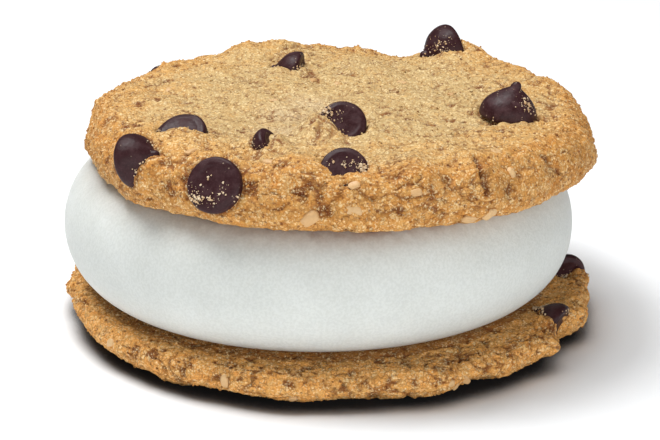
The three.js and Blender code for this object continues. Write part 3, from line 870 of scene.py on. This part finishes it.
def ice_cream_material(vanilla):
    """Vanilla ice cream: white, softly glowing, with a fine frost and painted brown shade along its edges."""
    finish = Finish("vanilla_ice_cream")
    cloudy = finish.ranged(finish.noise(9.0, 3.0), 0.3, 0.7, 0.0, 0.35)
    grainy = finish.times(finish.ranged(finish.noise(0.42), 0.35, 0.65), 0.55)
    # Painted brown shade along the top and bottom edges, beneath the cookies.
    edge_shade = finish.times(finish.mark("edge"), finish.ranged(finish.noise(2.2, 3.0), 0.3, 0.7, 0.65, 1.0))
    colour = finish.mixed(finish.plus(cloudy, grainy), vanilla.colour, vanilla.shade)
    colour = finish.mixed(edge_shade, colour, vanilla.edge_shade)
    frost = finish.raised((finish.noise(0.38, 3.0, 0.6), vanilla.frost_height / MM), (finish.noise(3.0), 0.12))
    roughness = finish.ranged(finish.noise(0.6), 0.3, 0.7, 0.5, 0.68)
    finish.shader.inputs["Subsurface Weight"].default_value = 0.5
    finish.shader.inputs["Subsurface Radius"].default_value = (1.0, 0.95, 0.85)
    finish.shader.inputs["Subsurface Scale"].default_value = 1.6 * MM
    return finish.finished(base_color=colour, roughness=roughness, normal=frost, specular_ior_level=0.35)


def crumb_material(name, light, dark, rough):
    """Loose bits whose tone changes from bit to bit."""
    finish = Finish(name)
    colour = finish.mixed(finish.mark("tone"), dark, light)
    colour = finish.mixed(finish.ranged(finish.noise(0.5, 3.0), 0.35, 0.7, 0.0, 0.3), colour, dark)
    relief = finish.raised((finish.noise(0.25), 0.06))
    roughness = finish.ranged(finish.noise(0.7, 1.0), 0.3, 0.7, rough - 0.1, rough + 0.1)
    return finish.finished(base_color=colour, roughness=roughness, normal=relief)


# -------- crumbs


def scattered(lively, places, normals, sizes, sink, flat=0.7):
    """Rough lumps of these sizes on these places, each turned at random, as one mesh."""
    heap = Heap()
    lump, shape = geodesic_ball(1)
    for place, normal, size in zip(places, normals, sizes):
        ball = lump * lively.uniform(0.72, 1.2, (len(lump), 1))
        spin = Matrix.Rotation(lively.uniform(0, 2 * math.pi), 3, "Z")
        turn = np.array(stood(normal) @ spin)
        scale = size / 2 * np.array([1, lively.uniform(0.6, 0.95), flat * lively.uniform(0.7, 1.1)])
        heap.add((ball * scale) @ turn.T + place + normal * size * (0.5 * flat - sink), shape, lively.uniform())
    return heap.joined()


def crust_crumbs(lively, crumb):
    """Loose crumbs on the crust, coloured like the dough that each one lies on."""
    places, normals, worn = [], [], []
    for cookie, count in ((UPPER, crumb.upper_count), (LOWER, crumb.lower_count)):
        points, facing = surface_of(cookie.piece)
        reach = across(points) / MM
        if cookie is UPPER:
            weight = 0.35 + smooth(reach, *CRUMBS.thicken)
            weight *= (facing[:, 2] > CRUMBS.steepest) & (points[:, 2] > CRUMBS.upper_from * MM)
        else:
            weight = 1.0 * ((reach > CRUMBS.lower_beyond) & (points[:, 2] > CRUMBS.lower_from * MM))
        chosen = lively.choice(len(points), count, replace=False, p=weight / weight.sum())
        places.append(points[chosen])
        normals.append(facing[chosen])
        marks = bpy.data.objects[cookie.piece].data.attributes
        worn.append(np.stack([read_back(marks[mark].data, "value")[chosen] for mark in WORN_MARKS]))
    places, normals = np.concatenate(places), np.concatenate(normals)
    sizes = crumb.smallest + (crumb.largest - crumb.smallest) * lively.uniform(size=len(places)) ** 4
    points, faces, _ = scattered(lively, places, normals, sizes, 0.22)
    worn = np.repeat(np.concatenate(worn, 1), len(points) // len(places), axis=1)
    piece = made_mesh("crust_crumbs", points, faces, dict(zip(WORN_MARKS, worn)))
    fitted(piece, bpy.data.objects[UPPER.piece].data.materials[0], "cookie")


def chip_crumbs(lively, crumb):
    """Crumb dust on the chips, thickest beside the dough and where the dough smeared them."""
    places, normals, sizes = [], [], []
    for cookie in (UPPER, LOWER):
        tree = BVHTree.FromObject(made_earlier(cookie.piece), bpy.context.evaluated_depsgraph_get())
        for name, *_ in cookie.chips:
            points, facing = surface_of(name.replace("chip_", "drop_"))
            patchy = smooth(noise(points / MM, 2.4, 5), 0.05, 0.45)
            smeared = np.zeros(len(points))
            for *place, radius in SMEARS if cookie is UPPER else ():
                smeared += bump(from_point(points, into_place(np.array(place), placing(cookie))), radius * MM)
            for index in lively.permutation(len(points))[: DUST.tries]:
                nearest, normal, _, _ = tree.find_nearest(Vector(points[index]))
                above = (Vector(points[index]) - nearest).dot(normal)
                if above < DUST.clear * MM or facing[index, 2] < DUST.steepest:
                    continue
                fade = math.exp(-((above / (DUST.fade * MM)) ** 2))
                chance = (DUST.rare + DUST.thick * fade) * patchy[index] + DUST.smear * smeared[index]
                if lively.uniform() < chance:
                    places.append(points[index])
                    normals.append(facing[index])
                    close = max(math.exp(-above / (DUST.shrink * MM)), smeared[index])
                    spread = lively.uniform() ** (2 - min(smeared[index], 1))
                    sizes.append((DUST.finest + (0.12 + 0.5 * close) * spread) * MM)
    points, faces, tones = scattered(lively, np.array(places), np.array(normals), np.array(sizes), 0.1)
    piece = made_mesh("chip_crumbs", points, faces, {"tone": tones})
    fitted(piece, crumb_material("chip_crumb", crumb.light, crumb.dark, 0.65), "cookie")


# -------- settings


def colour_setting(name, description, *shades):
    return FloatVectorProperty(
        name=name, description=description, default=srgb(*shades), subtype="COLOR", size=3, min=0, max=1
    )


def number_setting(name, description, default, **more):
    return FloatProperty(name=name, description=description, default=default, min=0, **more)


def length_setting(name, description, millimetres):
    return number_setting(name, description, millimetres * MM, unit="LENGTH", precision=5)


class DoughSettings(PropertyGroup):
    pale: colour_setting("Pale", "Dough in the middle of the top", 204, 174, 120)
    golden: colour_setting("Golden", "Dough towards the rim", 213, 165, 97)
    brown: colour_setting("Brown", "Dough down the side", 198, 128, 48)
    # Lighter than Brown: partly painted light that makes up for the shade the lower cookie sits in, partly a more
    # orange dough.
    base: colour_setting("Base", "Dough down the side of the lower cookie", 240, 166, 80)
    flour: colour_setting("Flour", "Floury hollows", 210, 186, 146)
    toast: colour_setting("Toast", "Darker grains", 160, 102, 48)
    # Painted shade in the dough's pores, creases, cracks, low spots, seams and the gaps between its grains.
    hollow_shade: colour_setting("Hollow", "Pores and creases", 106, 50, 14)
    caramel: colour_setting("Caramel", "Burnt sugar in the pits", 104, 46, 14)
    amber: colour_setting("Amber", "Toasted specks", 232, 176, 88)
    sugar: colour_setting("Sugar", "Grains of sugar", 246, 224, 174)
    grain_height: length_setting("Grain height", "How far the grains stand out", 0.16)
    pore_depth: length_setting("Pore depth", "How deep the pores are", 0.45)
    crease_depth: length_setting("Crease depth", "How deep the fine creases are", 0.45)
    lip_height: length_setting("Lip height", "How far the dough rises round a chip", 0.4)


class ChocolateSettings(PropertyGroup):
    dark: colour_setting("Dark", "Clean chocolate", 48, 22, 25)
    bloom: colour_setting("Bloom", "Pale bloom on the chocolate", 85, 58, 61)
    dust: colour_setting("Dust", "Specks of crumb dust", 200, 178, 150)


class VanillaSettings(PropertyGroup):
    colour: colour_setting("Colour", "Ice cream", 215, 218, 214)
    shade: colour_setting("Shade", "Faintly cloudier ice cream", 201, 204, 199)
    # Painted brown shade along the ice cream's edges beneath the cookies.
    edge_shade: colour_setting("Stain", "Where crumbs have coloured its edges", 118, 74, 44)
    frost_height: length_setting("Frost height", "How far the frost stands out", 0.05)


class NutSettings(PropertyGroup):
    colour: colour_setting("Colour", "Bits of nut", 214, 178, 128)
    toasted: colour_setting("Toasted", "Toasted side of the nut", 196, 148, 92)


class CrumbSettings(PropertyGroup):
    light: colour_setting("Light", "Palest crumbs", 228, 208, 176)
    dark: colour_setting("Dark", "Darkest crumbs", 192, 156, 114)
    upper_count: IntProperty(name="Upper crumbs", description="Loose crumbs on the upper cookie", default=3600, min=0)
    lower_count: IntProperty(name="Lower crumbs", description="Loose crumbs on the lower cookie", default=3000, min=0)
    smallest: length_setting("Smallest", "Size of the smallest crumb", 0.24)
    largest: length_setting("Largest", "Size of the largest crumb", 0.65)


class StudioSettings(PropertyGroup):
    floor: colour_setting("Floor", "Pale floor", 246, 248, 250)
    contact: colour_setting("Contact", "Floor in the deepest shade beside the sandwich", 40, 40, 42)
    # The floor's colour in the painted contact shadow.
    sky: number_setting("Soft light", "Strength of the light from all round", 0.06)
    key: number_setting("Main light", "Power of the light over the left", 3.2, unit="POWER")
    lens: number_setting("Lens", "Focal length in mm on a 36 mm sensor", 125.18)
    distance: length_setting("Distance", "From the lens to the sandwich", 400)
    elevation: number_setting("Elevation", "Height of the view over the floor", math.radians(19.9), subtype="ANGLE")


class SandwichSettings(PropertyGroup):
    dough: PointerProperty(type=DoughSettings)
    chocolate: PointerProperty(type=ChocolateSettings)
    vanilla: PointerProperty(type=VanillaSettings)
    nut: PointerProperty(type=NutSettings)
    crumb: PointerProperty(type=CrumbSettings)
    studio: PointerProperty(type=StudioSettings)


# -------- operators


class SANDWICH_OT_studio(Operator):
    """Lays the floor, sets the lights and places the camera"""

    bl_idname = "sandwich.studio"
    bl_label = "Studio"

    def execute(self, context):
        scene, studio = context.scene, context.scene.sandwich.studio
        scene.view_settings.view_transform = "Standard"
        world = bpy.data.worlds.new("soft_daylight")
        world.use_nodes = True
        sky = world.node_tree.nodes["Background"].inputs
        sky["Color"].default_value = DAYLIGHT
        sky["Strength"].default_value = studio.sky
        scene.world = world

        corners = np.array([(-1, -1, 0), (1, -1, 0), (1, 1, 0), (-1, 1, 0)]) * FLOOR.reach
        floor = made_mesh("floor", corners - (0, 0, FLOOR.gap * MM), np.array([[0, 1, 2, 3]]))
        finish = Finish("pale_floor")
        cloud = finish.ranged(finish.noise(FLOOR.cloud), 0.3, 0.7)
        colour = finish.mixed(cloud, studio.floor, tuple(0.985 * part for part in studio.floor))
        # Painted contact shadow: the floor darkens where ambient occlusion finds the sandwich close by.
        near = {"Distance": FLOOR.shade * MM}
        painted_contact_shade = finish.node("ShaderNodeAmbientOcclusion", near, samples=8).outputs["AO"]
        colour = finish.mixed(finish.ranged(painted_contact_shade, 0.3, 0.85), studio.contact, colour)
        floor.data.materials.append(finish.finished(base_color=colour, roughness=0.9, specular_ior_level=0.1))

        for name, place, size, share in LIGHTS:
            lamp = bpy.data.lights.new(name, "AREA")
            lamp.shape = "RECTANGLE"
            lamp.size, lamp.size_y = size
            lamp.energy = share * studio.key
            light = bpy.data.objects.new(name, lamp)
            light.location = place
            light.rotation_euler = (Vector(LIT_POINT) * MM - light.location).to_track_quat("-Z", "Y").to_euler()
            scene.collection.objects.link(light)

        lens = bpy.data.cameras.new("camera")
        lens.lens = studio.lens
        lens.sensor_width = 36.0
        lens.clip_start, lens.clip_end = 0.01, 20.0
        camera = bpy.data.objects.new("camera", lens)
        rise = studio.elevation
        back = Vector((0, -math.cos(rise), math.sin(rise)))
        camera.location = Vector(SEEN_POINT) * MM + back * studio.distance
        camera.rotation_euler = (math.pi / 2 - rise, 0, 0)
        scene.collection.objects.link(camera)
        scene.camera = camera
        return {"FINISHED"}


class SANDWICH_OT_cookies(Operator):
    """Bakes the upper and the lower cookie"""

    bl_idname = "sandwich.cookies"
    bl_label = "Cookies"

    def execute(self, context):
        dough = context.scene.sandwich.dough
        # The lower cookie's side takes a lighter, more orange colour; the lightness is partly painted light for the
        # shade it sits in.
        for cookie, brown in ((UPPER, dough.brown), (LOWER, dough.base)):
            points, faces, marks = baked(cookie, dough)
            piece = made_mesh(cookie.piece, into_place(points, placing(cookie)), faces, marks)
            fitted(piece, dough_material(cookie.piece + "_crust", dough, brown), "cookie", cookie.node)
        return {"FINISHED"}


class SANDWICH_OT_ice_cream(Operator):
    """Fills the sandwich with a thick disc of ice cream"""

    bl_idname = "sandwich.ice_cream"
    bl_label = "Ice cream"

    def execute(self, context):
        radius, thickness, bulge = ICE_CREAM.radius, ICE_CREAM.thickness, ICE_CREAM.bulge
        turn = np.linspace(-np.pi / 2, np.pi / 2, ICE_GRID.side)
        flat = ICE_GRID.flat
        inner = radius - bulge
        side = np.column_stack([inner + bulge * np.cos(turn), thickness / 2 * (1 + np.sin(turn))])
        low = np.column_stack([np.linspace(0, inner, flat), np.zeros(flat)])[:-1]
        high = np.column_stack([np.linspace(inner, 0, flat), np.full(flat, thickness)])[1:]
        points, faces = turned(np.concatenate([low, side, high]), ICE_GRID.round)
        share = points[:, 2] / thickness
        swell = 1 + ICE_RIPPLE_HEIGHT * np.sin(np.pi * share) * relief_from(**ICE_RIPPLE)(points) / radius
        fine = 0.02 * noise(points, 3.2, 3) + 0.03 * noise(points, 1.3, 4)
        reach = np.maximum(across(points), 1)
        swell += fine * smooth(reach, 20, 36) / reach
        points = points * np.column_stack([swell, swell, np.ones(len(points))])
        points[:, 2] += share * points[:, 1] * math.tan(math.radians(LEAN))
        bearing = np.degrees(np.arctan2(points[:, 1], points[:, 0]))
        # Painted shade beneath the cookies, strongest at the front; the edge mark carries it.
        shade_strength = 0.2 + 0.9 * bump(bearing - ICE_EDGE_SHADE.bearing, ICE_EDGE_SHADE.half_width)
        shade_strength *= 0.75 + 0.25 * noise(points, 9.0, 6)
        edge = shade_strength * bump(1 - share, ICE_EDGE_SHADE.down) + 0.4 * bump(share, ICE_EDGE_SHADE.up)
        edge *= across(points) > ICE_EDGE_SHADE.beyond
        points = points * MM + np.array(ICE_CREAM.at) * MM
        piece = made_mesh("vanilla_disc", points, faces, {"edge": edge})
        fitted(piece, ice_cream_material(context.scene.sandwich.vanilla), "ice_cream", "ice_cream")
        return {"FINISHED"}


class SANDWICH_OT_chips(Operator):
    """Presses a chocolate chip into each of its places"""

    bl_idname = "sandwich.chips"
    bl_label = "Chocolate chips"

    def execute(self, context):
        material = chocolate_material(context.scene.sandwich.chocolate)
        lively = np.random.default_rng(17)
        for cookie in (UPPER, LOWER):
            for name, base, tip, scale, _ in cookie.chips:
                points, faces = turned(chip_profile() * scale, CHIP.sides)
                reach = across(points) / (CHIP.radius * scale)
                share = points[:, 2] / (CHIP.height * scale)
                # The mould leaves a shallow ring in the flat of the base.
                ring = CHIP.ring_depth * bump(reach - CHIP.ring_at, CHIP.ring_width)
                points[:, 2] -= (points[:, 2] < 0.05 * scale) * ring * (reach < CHIP.ring_ends)
                points += 0.05 * shifts(points, 2.2, int(lively.integers(1000)))
                bend = lively.uniform(-0.5, 0.5, 2) * scale
                points[:, :2] += np.clip(share, 0, 1)[:, None] ** 3 * bend
                local = np.array(chip_frame(base, tip))
                points = into_place(points @ local[:3, :3].T + local[:3, 3], placing(cookie))
                bloom = np.full(len(points), lively.uniform(0.35, 1.0))
                piece = made_mesh(name.replace("chip_", "drop_"), points, faces, {"bloom": bloom})
                fitted(piece, material, "chocolate", name)
        return {"FINISHED"}


class SANDWICH_OT_nut_bits(Operator):
    """Sets the bits of nut in the crust"""

    bl_idname = "sandwich.nut_bits"
    bl_label = "Nut bits"

    def execute(self, context):
        nut = context.scene.sandwich.nut
        lively = np.random.default_rng(23)
        ball, shape = geodesic_ball(6)
        heap = Heap()
        for cookie in (UPPER, LOWER):
            for bearing, station, length in all_bits(cookie):
                place, facing = (found[0] for found in skin(cookie, np.array([bearing]), np.array([station])))
                lumpy = ball * (1 + 0.3 * noise(ball, 0.8, int(lively.integers(999))))[:, None]
                lumpy = np.sign(lumpy) * abs(lumpy) ** 0.75 * length * np.array(NUT_SHAPE)
                turn = np.array(stood(facing) @ Matrix.Rotation(bearing, 3, "Z"))
                points = lumpy @ turn.T + place - NUT_SUNK * length * facing
                heap.add(into_place(points, placing(cookie)), shape, lively.uniform(0.4, 1.0))
        points, faces, tones = heap.joined()
        piece = made_mesh("nut_bits", points, faces, {"tone": tones})
        fitted(piece, crumb_material("toasted_nut", nut.colour, nut.toasted, 0.5), "cookie")
        return {"FINISHED"}


class SANDWICH_OT_crumbs(Operator):
    """Scatters crumbs over the crust and dusts the chips with them"""

    bl_idname = "sandwich.crumbs"
    bl_label = "Crumbs"

    def execute(self, context):
        lively = np.random.default_rng(31)
        crust_crumbs(lively, context.scene.sandwich.crumb)
        chip_crumbs(lively, context.scene.sandwich.crumb)
        return {"FINISHED"}


# -------- panel

OPERATORS = (
    SANDWICH_OT_studio, SANDWICH_OT_cookies, SANDWICH_OT_ice_cream,
    SANDWICH_OT_chips, SANDWICH_OT_nut_bits, SANDWICH_OT_crumbs,
)
GROUPS = (
    DoughSettings, ChocolateSettings, VanillaSettings, NutSettings, CrumbSettings, StudioSettings, SandwichSettings,
)


class SANDWICH_PT_panel(Panel):
    """Sizes, colours and steps of the ice cream sandwich"""

    bl_label = "Ice Cream Sandwich"
    bl_idname = "SANDWICH_PT_panel"
    bl_space_type = "VIEW_3D"
    bl_region_type = "UI"
    bl_category = "Sandwich"

    def draw(self, context):
        settings = context.scene.sandwich
        for group in ("dough", "chocolate", "vanilla", "nut", "crumb", "studio"):
            box = self.layout.box()
            box.label(text=group.title())
            part = getattr(settings, group)
            for name in part.__annotations__:
                box.prop(part, name)
        for operator in OPERATORS:
            self.layout.operator(operator.bl_idname)


def register():
    for made in (*GROUPS, *OPERATORS, SANDWICH_PT_panel):
        bpy.utils.register_class(made)
    bpy.types.Scene.sandwich = PointerProperty(type=SandwichSettings)


def unregister():
    del bpy.types.Scene.sandwich
    for made in reversed((*GROUPS, *OPERATORS, SANDWICH_PT_panel)):
        bpy.utils.unregister_class(made)


def main():
    """Makes every piece in turn."""
    register()
    bpy.ops.sandwich.studio()
    bpy.ops.sandwich.cookies()
    bpy.ops.sandwich.ice_cream()
    bpy.ops.sandwich.chips()
    bpy.ops.sandwich.nut_bits()
    bpy.ops.sandwich.crumbs()


if __name__ == "__main__":
    main()
